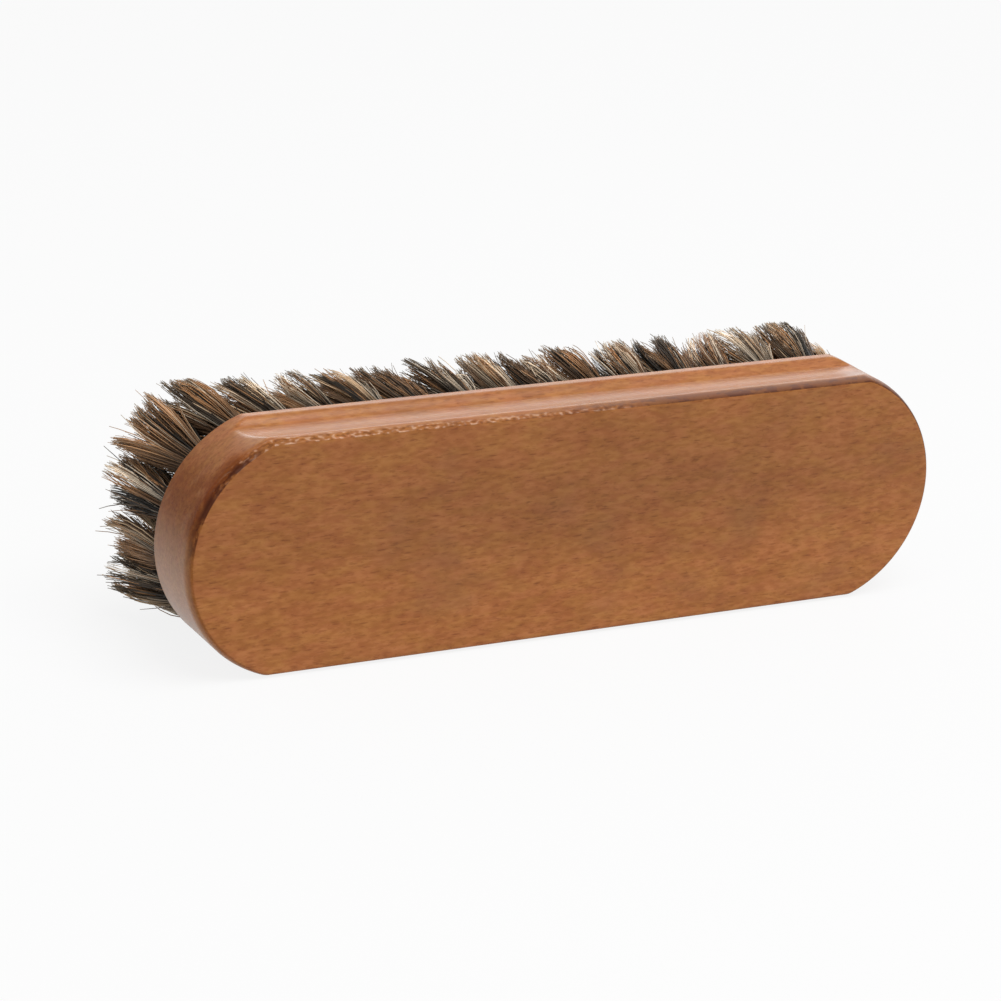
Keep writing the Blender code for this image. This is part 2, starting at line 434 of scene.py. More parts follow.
@dataclass(frozen=True)
class StainAndShadePattern:
    """Where stain and lacquer lie thicker or thinner on the block, and where shade and sheen are painted
    on it.

    All spans and windows are in millimetres: x from the middle along the brush, z up from the floor
    and depth from the flat back towards the hair.
    """

    end_x: Span = (66.0, 80.0)
    end_depth: Span = (0.1, 1.2)
    # dark stain along the back's edge, with painted shade on the rounded edge
    rim_starts: Span = (0.0, 0.12)
    rim_ends: Span = (0.60, 2.20)
    rim_widens_x: Span = (-20.0, 15.0)
    rim_widening: float = 0.7
    rim_left_x: Span = (-74.0, -69.0)
    rim_least: float = 0.32
    rim_right_x: Span = (-24.0, 20.0)
    rim_z: Span = (22.0, 33.0)
    rim_lowest: float = 0.22
    rim_steady_x: Span = (-15.0, 25.0)
    rim_steady: float = 0.76
    rim_corner_z: Window = ((32.0, 35.5), (38.0, 41.0))
    rim_patches: NoiseLayer = NoiseLayer((0.30, 0.60, 0.30), 3.0, 0.7, (0.34, 0.58), (0.25, 1.0))
    crest_starts: Span = (0.0, 0.10)
    crest_ends: Span = (1.3, 2.2)
    crest_narrows_x: Span = (-62.0, -20.0)
    crest_narrowing: float = 0.75
    # painted shade on each end's upper half, darkest beside the back's edge
    shade_x: Span = (70.0, 76.0)
    shade_depth: Window = ((1.5, 5.0), (15.0, 20.0))
    shade_z: Window = ((27.0, 36.0), (38.0, 45.0))
    shade_share: float = 0.60
    shade_corner_depth: Window = ((0.2, 1.0), (2.4, 6.5))
    shade_corner_z: Window = ((27.0, 34.0), (44.0, 48.5))
    shade_patches: NoiseLayer = NoiseLayer((0.25, 0.30, 0.25), 2.0, 0.5, (0.2, 0.5))
    shade_keeps: float = 0.66
    pool_depth: Window = ((2.6, 3.6), (7.0, 12.5))
    pool_x: Span = (68.0, 76.0)
    pool_most: float = 0.50
    dull_middle: Triple = (12.0, 0.0, 30.0)
    dull_reach: Point = (62.0, 17.0)
    dull_span: Span = (0.15, 1.35)
    dull_keeps: float = 0.86
    dull_edge: Span = (0.25, -0.25)

    def end(self, place: BlockPlace) -> Socket:
        """1 on the two end walls, and 0 on the sides and the back."""
        wall = place.bench.band(place.depth, self.end_depth)
        return place.bench.times(place.bench.band(place.from_middle, self.end_x), wall)

    def rim_stain_and_shade(self, place: BlockPlace) -> Socket:
        """Finds the dark stain gathered along the back's edge, with painted shade on its rounded edge,
        most at the ends' upper corners.

        Args:
            place: The place on the block.

        Returns:
            The share of dark stain and painted shade.
        """
        bench = place.bench
        widening = bench.band(place.x, self.rim_widens_x, (0.0, self.rim_widening))
        ends = bench.fall(bench.maths("SUBTRACT", place.depth, widening), self.rim_ends)
        left = bench.band(place.x, self.rim_left_x, (1.0, self.rim_least))
        to_end = bench.maths("MAXIMUM", left, bench.band(place.x, self.rim_right_x))
        low = bench.band(place.z, self.rim_z, (self.rim_lowest, 1.0))
        patches = bench.maths(
            "MAXIMUM",
            self.rim_patches.tone(place),
            bench.band(place.x, self.rim_steady_x, (0.0, self.rim_steady)),
            bench.window(place.z, self.rim_corner_z),
        )
        return bench.times(bench.band(place.depth, self.rim_starts), ends, to_end, low, patches)

    def crest(self, place: BlockPlace) -> Socket:
        """Finds the crest beside the back, where the lacquer has dried in small beads.

        Args:
            place: The place on the block.

        Returns:
            1 on the crest and 0 off it.
        """
        bench = place.bench
        narrowing = bench.band(place.x, self.crest_narrows_x, (0.0, self.crest_narrowing))
        ends = bench.fall(bench.maths("ADD", place.depth, narrowing), self.crest_ends)
        return bench.times(bench.band(place.depth, self.crest_starts), ends)

    def painted_shade(self, place: BlockPlace) -> Socket:
        """Finds the soft brown painted shade in each end's upper half, darkest beside the back's edge,
        which stands in for a dark reflection.

        Args:
            place: The place on the block.

        Returns:
            The share of light that is kept.
        """
        bench = place.bench
        depths = bench.window(place.depth, self.shade_depth)
        cloud = bench.times(depths, bench.window(place.z, self.shade_z), self.shade_share)
        depths = bench.window(place.depth, self.shade_corner_depth)
        corner = bench.times(depths, bench.window(place.z, self.shade_corner_z))
        both = bench.maths("MAXIMUM", cloud, corner)
        at_ends = bench.band(place.from_middle, self.shade_x)
        there = bench.times(both, at_ends, self.shade_patches.tone(place))
        return bench.band(there, (0.0, 1.0), (1.0, self.shade_keeps))

    def pooled_and_sheen(self, place: BlockPlace) -> Socket:
        """How much more lacquer has run together on the groove's long slope, and how much painted sheen
        lies there.
        """
        on_side = place.bench.band(place.from_middle, self.pool_x, (self.pool_most, 0.0))
        return place.bench.times(place.bench.window(place.depth, self.pool_depth), on_side)

    def handled(self, place: BlockPlace, drift: Socket) -> Socket:
        """Finds the middle of the back, which hands have dulled above its middle line.

        Args:
            place: The place on the block.
            drift: A slow noise that frays the dull field's edge.

        Returns:
            The share of light that is kept.
        """
        bench = place.bench
        feeds = {0: place.point, 1: self.dull_middle}
        offset = bench.node("VectorMath", feeds, operation="SUBTRACT").outputs["Vector"]
        flat = bench.scaled(offset, (1 / self.dull_reach[0], 0.0, 1 / self.dull_reach[1]))
        far = bench.node("VectorMath", {0: flat}, operation="LENGTH").outputs["Value"]
        ragged = bench.maths("ADD", far, bench.band(drift, NOISE_SPAN, self.dull_edge))
        return bench.band(ragged, self.dull_span, (self.dull_keeps, 1.0))


@dataclass(frozen=True)
class LacqueredBeech:
    """Beech stained a warm brown under a satin lacquer, its fibres along X, with some light and shade
    painted into its colour.
    """

    golden: Colour = (0.334, 0.1235, 0.0280)
    russet: Colour = (0.345, 0.1175, 0.0325)
    fleck: Colour = (0.52, 0.38, 0.25)
    bloom: Colour = (0.240, 0.098, 0.040)
    edge: Colour = (0.070, 0.018, 0.006)
    # colour of the stain just below the back's edge, which also stands in for painted shade there
    stain: Colour = (0.128, 0.054, 0.034)
    # painted sheen: the pale colour of the painted highlights on the groove's slope and on the crest's
    # beads
    painted_sheen: Colour = (0.60, 0.36, 0.23)
    # painted reflection of the pale floor, on the ends' lower halves
    painted_floor_reflection: Colour = (0.36, 0.30, 0.22)
    figure: NoiseLayer = NoiseLayer((0.14, 0.34, 0.34), 3.0, 0.6, (0.36, 0.64))
    fibre: NoiseLayer = NoiseLayer((0.50, 4.5, 4.5), 3.0, 0.6, NOISE_SPAN, (0.985, 1.015))
    mottle: NoiseLayer = NoiseLayer((0.42, 1.25, 1.25), 2.0, 0.5, (0.34, 0.66), (0.90, 1.09))
    cloud: NoiseLayer = NoiseLayer((0.13, 0.26, 0.26), 2.0, 0.6, (0.32, 0.68), (0.93, 1.06))
    ripple: NoiseLayer = NoiseLayer((0.75, 2.4, 2.4), 2.0, 0.55, (0.54, 0.72))
    drift: NoiseLayer = NoiseLayer((0.045, 0.07, 0.07), 2.0, 0.6, (0.52, 0.72), (0.0, 0.26))
    bead: NoiseLayer = NoiseLayer((0.95, 1.6, 1.2), 0.0, 0.5)
    grain_warmth: float = 0.5
    tick_share: float = 0.40
    spindle_share: float = 0.50
    spindle_cells: Triple = (0.34, 1.9, 1.9)
    spindle_size: float = 0.44
    spindle_core: float = 0.45
    spindle_chance: Span = (0.50, 0.95)
    end_z: Span = (19.0, 33.0)
    end_grain: float = 0.77
    end_warmth: float = 0.15
    # the ends' lower halves, where the floor's painted reflection lies and the coat is thicker
    lower_wall_z: Span = (20.0, 33.0)
    floor_reflection_share: float = 0.20
    # painted light: the block grows lighter towards its bottom
    painted_light_z: Span = (12.0, 31.0)
    painted_light_range: Span = (1.11, 0.97)
    # share of painted sheen, a reflection on the groove's long slope
    painted_sheen_share: float = 0.16
    mauve_depth: Span = (0.10, 0.70)
    mauve_x: Span = (-60.0, 0.0)
    # painted shade on the ends: its warmth, and how much it dulls the coat
    shade_warmth: float = 0.8
    shade_dulls: float = 8.0
    beads_x: Span = (-4.0, 18.0)
    beads_z: Span = (35.0, 42.0)
    bead_lacquer: Span = (0.46, 0.60)
    # painted highlights on the crest's beads
    painted_glint: Span = (0.54, 0.72)
    painted_glint_most: float = 0.52
    glint_fades_x: Span = (-79.0, -72.0)
    glint_least: float = 0.25
    bead_gaps: Span = (0.28, 0.42)
    bead_gap_most: float = 0.45
    roughness: float = 0.42
    roughness_range: Span = (-0.05, 0.07)
    specular: float = 0.10
    coat: float = 0.50
    end_coat: float = 0.25
    low_end_coat: float = 0.46
    coat_ior: float = 1.40
    coat_roughness: float = 0.24
    fibre_relief: float = 0.20
    tick_relief: float = -0.15
    bead_relief: float = 8.0
    bump_strength: float = 0.35
    bump_height: float = 0.05 * MM
    pattern: StainAndShadePattern = field(default_factory=StainAndShadePattern)

    def material(self, plan: BrushPlan) -> bpy.types.Material:
        """Builds the finish for a block of this plan.

        Args:
            plan: Sizes, which say where the back's edge is.

        Returns:
            The material.
        """
        bench = NodeBench(bpy.data.materials.new("lacquered_beech"))
        place = BlockPlace(bench, plan)
        fibre = self.fibre.raw(place)
        ticks = self.ripple.tone(place)
        end = self.pattern.end(place)
        rim_stain_and_shade = self.pattern.rim_stain_and_shade(place)
        kept = self.pattern.painted_shade(place)
        pooled_and_sheen = self.pattern.pooled_and_sheen(place)
        crest = self.pattern.crest(place)
        bead = self.bead.raw(place)
        upper = bench.times(bench.fall(place.x, self.beads_x), bench.band(place.z, self.beads_z))
        beaded = bench.times(upper, crest)

        wood = self.grown(place, fibre, ticks)
        wood = self.stained(place, wood, end, rim_stain_and_shade, kept, pooled_and_sheen)
        wood = self.beaded(place, wood, bead, beaded, rim_stain_and_shade)

        low, high = (self.roughness + part for part in self.roughness_range)
        lacquered = bench.times(upper, bench.band(bead, self.bead_lacquer))
        bare = bench.times(crest, bench.maths("SUBTRACT", 1.0, lacquered))
        on_walls = bench.band(place.z, self.lower_wall_z, (self.low_end_coat, self.end_coat))
        coat = bench.between(end, self.coat, on_walls)
        coat = bench.times(bench.maths("ADD", coat, pooled_and_sheen), bench.maths("SUBTRACT", 1.0, bare))
        relief = bench.maths(
            "ADD",
            bench.times(fibre, self.fibre_relief),
            bench.times(ticks, self.tick_relief),
            bench.times(bead, beaded, self.bead_relief),
        )
        feeds = {"Strength": self.bump_strength, "Distance": self.bump_height, "Height": relief}
        bump = bench.node("Bump", feeds).outputs["Normal"]
        shader = bench.node(
            "BsdfPrincipled",
            {
                "Base Color": wood,
                "Roughness": bench.band(fibre, NOISE_SPAN, (low, high)),
                "Specular IOR Level": self.specular,
                "Coat Weight": bench.times(coat, bench.maths("POWER", kept, self.shade_dulls)),
                "Coat Roughness": self.coat_roughness,
                "Coat IOR": self.coat_ior,
                "Normal": bump,
                "Coat Normal": bump,
            },
        )
        return bench.finish(shader.outputs["BSDF"])

    def grown(self, place: BlockPlace, fibre: Socket, ticks: Socket) -> Socket:
        """Colours the bare wood as it grew.

        Args:
            place: The place on the block.
            fibre: The fibres' noise.
            ticks: 1 in the short dark pores.

        Returns:
            The wood's colour.
        """
        bench = place.bench
        wood = bench.blend(self.figure.tone(place), self.golden, self.russet)
        tone = bench.band(fibre, self.fibre.span, self.fibre.to)
        wood = bench.dimmed(wood, tone, self.grain_warmth)
        for layer in (self.mottle, self.cloud):
            wood = bench.dimmed(wood, layer.tone(place), self.grain_warmth)
        for dark, share in ((ticks, self.tick_share), (self.spindles(place), self.spindle_share)):
            wood = bench.blend(bench.times(dark, share), wood, self.fleck, "MULTIPLY")
        return wood

    def spindles(self, place: BlockPlace) -> Socket:
        """Draws short spindles along the fibres, as beech shows where its rays are cut through.

        Args:
            place: The place on the block.

        Returns:
            1 in a spindle's middle and 0 outside it.
        """
        bench = place.bench
        point = bench.scaled(place.point, self.spindle_cells)
        cells = bench.node("TexVoronoi", {"Vector": point, "Scale": 1.0, "Randomness": 1.0}).outputs
        size = self.spindle_size
        shape = bench.fall(cells["Distance"], (size * self.spindle_core, size))
        chance = bench.node("SeparateColor", {"Color": cells["Color"]}).outputs["Red"]
        return bench.times(shape, bench.band(chance, self.spindle_chance))

    def stained(
        self, place: BlockPlace, wood: Socket, end: Socket, rim_stain_and_shade: Socket, kept: Socket, pooled_and_sheen: Socket
    ) -> Socket:
        """Stains the wood, which takes the stain unevenly, and paints light and shade into it.

        Args:
            place: The place on the block.
            wood: The bare wood's colour.
            end: 1 on the end walls.
            rim_stain_and_shade: The share of dark stain and painted shade along the back's edge.
            kept: The share of light that the ends' painted shade keeps.
            pooled_and_sheen: How much more lacquer lies in the grooves, and how much painted sheen.

        Returns:
            The stained wood's colour.
        """
        bench = place.bench
        # end grain takes more stain, so the ends are darker, but only in their upper halves: the lower
        # halves stay lighter, as painted light from the pale floor
        end_grain = bench.band(place.z, self.end_z, (1.0, self.end_grain))
        wood = bench.dimmed(wood, bench.between(end, 1.0, end_grain), self.end_warmth)
        drift = self.drift.raw(place)
        wood = bench.blend(bench.band(drift, self.drift.span, self.drift.to), wood, self.bloom)
        # painted light: lighter towards the bottom of the block
        wood = bench.dimmed(wood, bench.band(place.z, self.painted_light_z, self.painted_light_range))
        wood = bench.dimmed(wood, self.pattern.handled(place, drift))
        # painted reflection: a paler sheen on the groove's long slope
        wood = bench.blend(bench.times(pooled_and_sheen, self.painted_sheen_share), wood, self.painted_sheen)
        below_edge = bench.band(place.depth, self.mauve_depth)
        mauve = bench.times(below_edge, bench.band(place.x, self.mauve_x))
        # dark stain along the back's edge, with painted shade on the rounded edge
        wood = bench.blend(rim_stain_and_shade, wood, bench.blend(mauve, self.edge, self.stain))
        # painted shade on the ends' upper halves, standing in for a dark reflection
        wood = bench.dimmed(wood, kept, self.shade_warmth)
        # painted reflection of the pale floor on the ends' lower halves
        floor_reflection = bench.times(end, bench.band(place.z, self.lower_wall_z, (self.floor_reflection_share, 0.0)))
        return bench.blend(floor_reflection, wood, self.painted_floor_reflection)

    def beaded(
        self, place: BlockPlace, wood: Socket, bead: Socket, beaded: Socket, rim_stain_and_shade: Socket
    ) -> Socket:
        """Colours the crest: a painted highlight where a bead of lacquer stands, dark between the beads.

        Args:
            place: The place on the block.
            wood: The stained wood's colour.
            bead: The beads' noise.
            beaded: 1 where the crest has beads.
            rim_stain_and_shade: The share of dark stain and painted shade along the back's edge.

        Returns:
            The colour under the lacquer.
        """
        bench = place.bench
        # painted highlights: the beads are coloured pale where a lamp would glint on them
        painted_glints = bench.times(
            beaded,
            bench.band(bead, self.painted_glint, (0.0, self.painted_glint_most)),
            bench.band(place.x, self.glint_fades_x, (self.glint_least, 1.0)),
            bench.maths("SUBTRACT", 1.0, rim_stain_and_shade),
        )
        wood = bench.blend(painted_glints, wood, self.painted_sheen)
        gaps = bench.times(beaded, bench.band(bead, self.bead_gaps, (self.bead_gap_most, 0.0)))
        return bench.blend(gaps, wood, self.edge)


class HairColour(Enum):
    """The colours in the mix of horsehair: a share of the hairs, and the colour itself."""

    BLACK = (0.08, (0.0240, 0.0180, 0.0120))
    SOOT = (0.12, (0.0640, 0.0440, 0.0280))
    UMBER = (0.20, (0.1400, 0.0800, 0.0430))
    CHESTNUT = (0.18, (0.2800, 0.1530, 0.0750))
    AUBURN = (0.12, (0.3900, 0.2000, 0.0880))
    ASH = (0.11, (0.3900, 0.3000, 0.2100))
    HONEY = (0.09, (0.5200, 0.3700, 0.2300))
    CREAM = (0.10, (0.6800, 0.5700, 0.4400))

    @property
    def share(self) -> float:
        """Share of all hairs that have this colour."""
        return self.value[0]

    @property
    def linear(self) -> Colour:
        """The colour as linear numbers."""
        return self.value[1]


@dataclass(frozen=True)
class MixedHorsehair:
    """Natural horsehair in a mix of colours, with painted shade darkening the roots, and paler at the
    trimmed tips.

    Each hair wears one column of the mix: columns of one colour differ a little in tone.
    """

    columns_per_colour: int = 8
    tone_cells: Triple = (97.0, 1.0, 1.0)
    tone_range: Span = (0.74, 1.50)
    streak_cells: Triple = (61.0, 5.0, 1.0)
    streak_range: Span = (0.78, 1.22)
    body_from: Span = (0.30, 0.80)
    # painted shade at the roots, where the tuft shades itself
    root_shade: float = 0.26
    body_light: float = 1.30
    tip_from: Span = (0.80, 1.0)
    tip: Colour = (0.55, 0.44, 0.30)
    tip_pale: float = 0.24
    roughness: float = 0.46
    specular: float = 0.28

    @property
    def columns(self) -> int:
        """How many tones the mix has."""
        return len(HairColour) * self.columns_per_colour

    def material(self) -> bpy.types.Material:
        """Builds the finish, which reads a hair's column and the way along it from the mesh.

        Returns:
            The material.
        """
        bench = NodeBench(bpy.data.materials.new("mixed_horsehair"))
        column = bench.node("Attribute", attribute_name="hair_column").outputs["Fac"]
        along = bench.node("Attribute", attribute_name="hair_along").outputs["Fac"]
        hair = bench.steps(column, [colour.linear for colour in HairColour])
        spot = bench.node("CombineXYZ", {"X": column, "Y": 0.5}).outputs["Vector"]
        tone = bench.band(bench.noise(spot, self.tone_cells, 0.0), NOISE_SPAN, self.tone_range)
        run = bench.node("CombineXYZ", {"X": column, "Y": along}).outputs["Vector"]
        streak = bench.band(bench.noise(run, self.streak_cells), NOISE_SPAN, self.streak_range)
        # painted shade: the hairs are darker towards their roots, where the tuft shades itself
        light = bench.band(along, self.body_from, (self.root_shade, self.body_light))
        hair = bench.dimmed(hair, bench.times(tone, streak, light))
        hair = bench.blend(bench.band(along, self.tip_from, (0.0, self.tip_pale)), hair, self.tip)
        feeds = {"Base Color": hair, "Roughness": self.roughness, "Specular IOR Level": self.specular}
        return bench.finish(bench.node("BsdfPrincipled", feeds).outputs["BSDF"])


@dataclass(frozen=True)
class TinnedWire:
    """Flattened steel wire with a dull coat of tin."""

    colour: Colour = (0.46, 0.45, 0.42)
    worn: Colour = (0.26, 0.25, 0.24)
    worn_from: Span = (0.35, 0.75)
    worn_share: float = 0.4
    line_cells: Triple = (900.0, 6000.0, 900.0)
    roughness_range: Span = (0.30, 0.50)

    def material(self) -> bpy.types.Material:
        """Builds the finish, with the fine lines of the rolls along the wire.

        Returns:
            The material.
        """
        bench = NodeBench(bpy.data.materials.new("tinned_wire"))
        lines = bench.noise(bench.node("TexCoord").outputs["Object"], self.line_cells)
        share = bench.band(lines, self.worn_from, (0.0, self.worn_share))
        colour = bench.blend(share, self.colour, self.worn)
        rough = bench.band(lines, NOISE_SPAN, self.roughness_range)
        feeds = {"Base Color": colour, "Metallic": 1.0, "Roughness": rough}
        return bench.finish(bench.node("BsdfPrincipled", feeds).outputs["BSDF"])


def scene_object(
    name: str, data: bpy.types.Mesh | bpy.types.Light | bpy.types.Camera
) -> bpy.types.Object:
    """Puts a mesh, lamp or camera into the scene.

    Args:
        name: The object's name.
        data: What it shows.

    Returns:
        The object.
    """
    made = bpy.data.objects.new(name, data)
    bpy.context.scene.collection.objects.link(made)
    return made


def finished_mesh(bm: bmesh.types.BMesh, name: str) -> bpy.types.Mesh:
    """Turns a finished bmesh into a mesh.

    Args:
        bm: The bmesh, which is freed.
        name: The mesh's name.

    Returns:
        The mesh.
    """
    mesh = bpy.data.meshes.new(name)
    bm.to_mesh(mesh)
    bm.free()
    return mesh


def boxes_in_holes(sites: list[TuftSite], size: Triple, middle: float) -> bmesh.types.BMesh:
    """Makes one box in each hole, along the tuft's own axes.

    Args:
        sites: The tufts.
        size: The box's sizes along those axes.
        middle: How far its middle stands out of the hole's mouth, below 0 for inside.

    Returns:
        The boxes.
    """
    bm = bmesh.new()
    shape = Matrix.Translation((0.0, 0.0, middle)) @ Matrix.Diagonal((*size, 1.0))
    for site in sites:
        bmesh.ops.create_cube(bm, size=1.0, matrix=site.axes @ shape)
    return bm


@dataclass
class WoodBlock:
    """The beech block: flat back, round ends, a finger groove along each side and the blind holes."""

    plan: BrushPlan
    groove_depth: float = 0.0015
    back_land: float = 0.0026
    lip_thickness: float = 0.0019
    steep_run: float = 0.0034
    back_inset: float = 0.0011
    back_turn: float = math.radians(52.0)
    face_round: float = 0.0005
    ramp_power: float = 1.12
    corner_round: float = 0.0040
    softness: float = 0.00014
    softness_reach: int = 4
    row_step: float = 0.00028
    row_substeps: int = 8
    section_steps: int = 200
    column_step: float = 0.0012
    arc_step: float = math.radians(0.8)
    round_steps: int = 9
    support: float = 0.0005
    groove_edge_soft: float = 0.4
    wobble_depth: float = 0.00005
    wobble_cells: Triple = (70.0, 160.0, 70.0)
    slot_size: Triple = (0.0012, 0.0064, 0.0026)
    slot_lift: float = 0.0003
    hole_sides: int = 28
    cutter_past: float = 0.003
    sharp_angle: float = math.radians(40.0)
    finish: LacqueredBeech = field(default_factory=LacqueredBeech)

    def build(self, sites: list[TuftSite]) -> bpy.types.Object:
        """Makes the dressed block.

        Args:
            sites: The tufts, each of which needs its hole.

        Returns:
            The block's object, in place.
        """
        block = scene_object("beech_block", self.shell())
        self.cut(block, self.holes(sites))
        self.cut(block, self.slots(sites))
        self.dress(block)
        return block

    def dress(self, block: bpy.types.Object) -> None:
        """Gives the block its lacquered finish and shades its round edges smooth.

        Args:
            block: The block's object.
        """
        block.data.materials.clear()
        block.data.materials.append(self.finish.material(self.plan))
        block.data.shade_smooth()
        block.data.set_sharp_from_angle(angle=self.sharp_angle)

    def groove_rows(self) -> np.ndarray:
        """Draws the groove's section between the rounded edges.

        Returns:
            Y above the back and depth of each of its points.
        """
        lip = self.plan.thickness - self.lip_thickness
        deepest = lip - self.steep_run
        run = np.linspace(1.0, 0.0, self.section_steps)
        angle = np.linspace(0.0, math.pi, self.section_steps)[1:]
        depth = self.groove_depth * (1 - run**2) ** self.ramp_power
        ramp = np.stack([deepest - (deepest - self.back_land) * run, depth], 1)
        rise = self.groove_depth * (0.5 + 0.5 * np.cos(angle))
        steep = np.stack([deepest + self.steep_run * angle / math.pi, rise], 1)
        last = [[self.plan.thickness - self.face_round, 0.0]]
        return self.softened(np.concatenate([ramp, steep, last]))

    def softened(self, section: np.ndarray) -> np.ndarray:
        """Rounds the corners of a section, as sanding and lacquer do.

        Args:
            section: Its points, each Y and depth.

        Returns:
            Even points along the rounded section.
        """
        finest = self.row_step / self.row_substeps
        way = np.concatenate([[0.0], np.cumsum(np.linalg.norm(np.diff(section, axis=0), axis=1))])
        even = np.arange(0.0, way[-1], finest)
        points = np.stack([np.interp(even, way, section[:, part]) for part in (0, 1)], 1)
        reach = int(self.softness_reach * self.softness / finest)
        weights = np.exp(-0.5 * (np.arange(-reach, reach + 1) * finest / self.softness) ** 2)
        weights /= weights.sum()
        before = 2 * points[0] - points[reach:0:-1]
        after = 2 * points[-1] - points[-2 : -reach - 2 : -1]
        padded = np.concatenate([before, points, after])
        smooth = np.stack([np.convolve(padded[:, part], weights, "valid") for part in (0, 1)], 1)
        return smooth[:: int(self.row_step / finest)]

    def rows(self) -> list[Triple]:
        """Lists the rings of the shell from back to face.

        Returns:
            Y above the back, inset and groove depth of each ring.
        """
        thickness = self.plan.thickness
        found = [(0.0, self.back_inset + self.support, 0.0)]
        highest, widest = 1 - math.cos(self.back_turn), math.sin(self.back_turn)
        for step in range(self.round_steps):
            angle = self.back_turn * step / self.round_steps
            up = self.back_land * (1 - math.cos(angle)) / highest
            found.append((up, self.back_inset * (1 - math.sin(angle) / widest), 0.0))
        found.extend((float(y), 0.0, float(depth)) for y, depth in self.groove_rows())
        for step in reversed(range(self.round_steps)):
            angle = math.pi / 2 * step / self.round_steps
            up, out = self.face_round * (1 - math.cos(angle)), self.face_round * (1 - math.sin(angle))
            found.append((thickness - up, out, 0.0))
        found.append((thickness, self.face_round + self.support, 0.0))
        return found

    def stations(self) -> list[tuple[Vector, Vector]]:
        """Walks over the upper outline from the +X tip to the -X tip.

        Returns:
            Each point on the way, and its outward direction.
        """
        outline = self.plan.outline
        inner = outline.radius - self.corner_round
        height = outline.half_width - self.corner_round
        reach = math.sqrt(inner**2 - height**2)
        turn = math.atan2(height, reach)
        end_angles = np.linspace(0.0, turn, round(turn / self.arc_step) + 1)
        corner_angles = np.linspace(turn, math.pi / 2, self.round_steps + 1)[1:]
        arcs = (
            (Vector((outline.centre, 0.0)), outline.radius, end_angles),
            (Vector((outline.centre + reach, height)), self.corner_round, corner_angles),
        )
        quarter = []
        for middle, radius, angles in arcs:
            for angle in angles:
                out = Vector((math.cos(angle), math.sin(angle)))
                quarter.append((middle + radius * out, out))
        side = quarter[-1][0].x
        for x in np.linspace(side, 0.0, math.ceil(side / self.column_step) + 1)[1:]:
            quarter.append((Vector((float(x), outline.half_width)), Vector((0.0, 1.0))))
        mirrored = [(Vector((-p.x, p.y)), Vector((-out.x, out.y))) for p, out in reversed(quarter[:-1])]
        return quarter + mirrored

    def shell(self) -> bpy.types.Mesh:
        """Skins the block's closed shape, before its holes.

        Returns:
            The mesh.
        """
        stations = self.stations()
        bm = bmesh.new()
        rings = []
        for y, inset, depth in self.rows():
            upper = []
            for point, out in stations:
                fall = self.plan.width / 2 - point.y
                sunk = self.eased(depth - fall, self.groove_edge_soft * fall)
                sanded = self.wobble(point, y) if inset == 0.0 else 0.0
                at = point - out * (inset + sanded)
                upper.append((at.x, at.y - sunk))
            around = upper + [(x, -z) for x, z in upper[-2:0:-1]]
            rings.append([bm.verts.new((x, y + self.plan.back, z + self.plan.axis)) for x, z in around])
        count = len(rings[0])
        for ring, following in zip(rings, rings[1:]):
            for number in range(count):
                after = (number + 1) % count
                bm.faces.new((ring[number], following[number], following[after], ring[after]))
        for ring in (rings[0], rings[-1]):
            self.close(bm, ring, len(stations))
        bmesh.ops.recalc_face_normals(bm, faces=bm.faces)
        return finished_mesh(bm, "beech_block")

    @staticmethod
    def eased(value: float, reach: float) -> float:
        """Rounds the corner between a value and 0.

        Args:
            value: The value.
            reach: How far from 0 the rounding starts.

        Returns:
            The larger of the value and 0, a little more inside the rounding.
        """
        if abs(value) >= reach:
            return max(value, 0.0)
        return (value + reach) ** 2 / (4 * reach)

    def wobble(self, point: Vector, y: float) -> float:
        """How far the sanded side lies in from its true line.

        Args:
            point: X and Z on the outline.
            y: Y above the back.

        Returns:
            The distance, at least 0.
        """
        cells = self.wobble_cells
        spot = Vector((point.x * cells[0], y * cells[1], point.y * cells[2]))
        return self.wobble_depth * (0.5 + 0.5 * noise.noise(spot))

    @staticmethod
    def close(bm: bmesh.types.BMesh, ring: list[bmesh.types.BMVert], upper: int) -> None:
        """Closes a ring with rungs from its upper half to its lower half.

        Args:
            bm: The mesh.
            ring: Its vertices, the upper half first.
            upper: How many of them are on the upper half, both tips included.
        """
        count = len(ring)
        for number in range(upper - 1):
            corners = (number, number + 1, -(number + 1) % count, -number % count)
            bm.faces.new(list(dict.fromkeys(ring[corner] for corner in corners)))

    def holes(self, sites: list[TuftSite]) -> bpy.types.Mesh:
        """Makes the cutters for the blind holes.

        Args:
            sites: The tufts.

        Returns:
            One mesh with a cutter at each site.
        """
        bm = bmesh.new()
        depth = self.plan.hole_depth + self.cutter_past
        lift = Matrix.Translation((0.0, 0.0, self.cutter_past - depth / 2))
        radius = self.plan.hole_diameter / 2
        for site in sites:
            bmesh.ops.create_cone(
                bm,
                cap_ends=True,
                segments=self.hole_sides,
                radius1=radius,
                radius2=radius,
                depth=depth,
                matrix=site.axes @ lift,
            )
        return finished_mesh(bm, "hole_cutter")

    def slots(self, sites: list[TuftSite]) -> bpy.types.Mesh:
        """Cutters for the slots that the wires' ends lie in, just above the holes' bottoms."""
        middle = (self.slot_size[2] + self.slot_lift) / 2 - self.plan.hole_depth
        return finished_mesh(boxes_in_holes(sites, self.slot_size, middle), "slot_cutter")

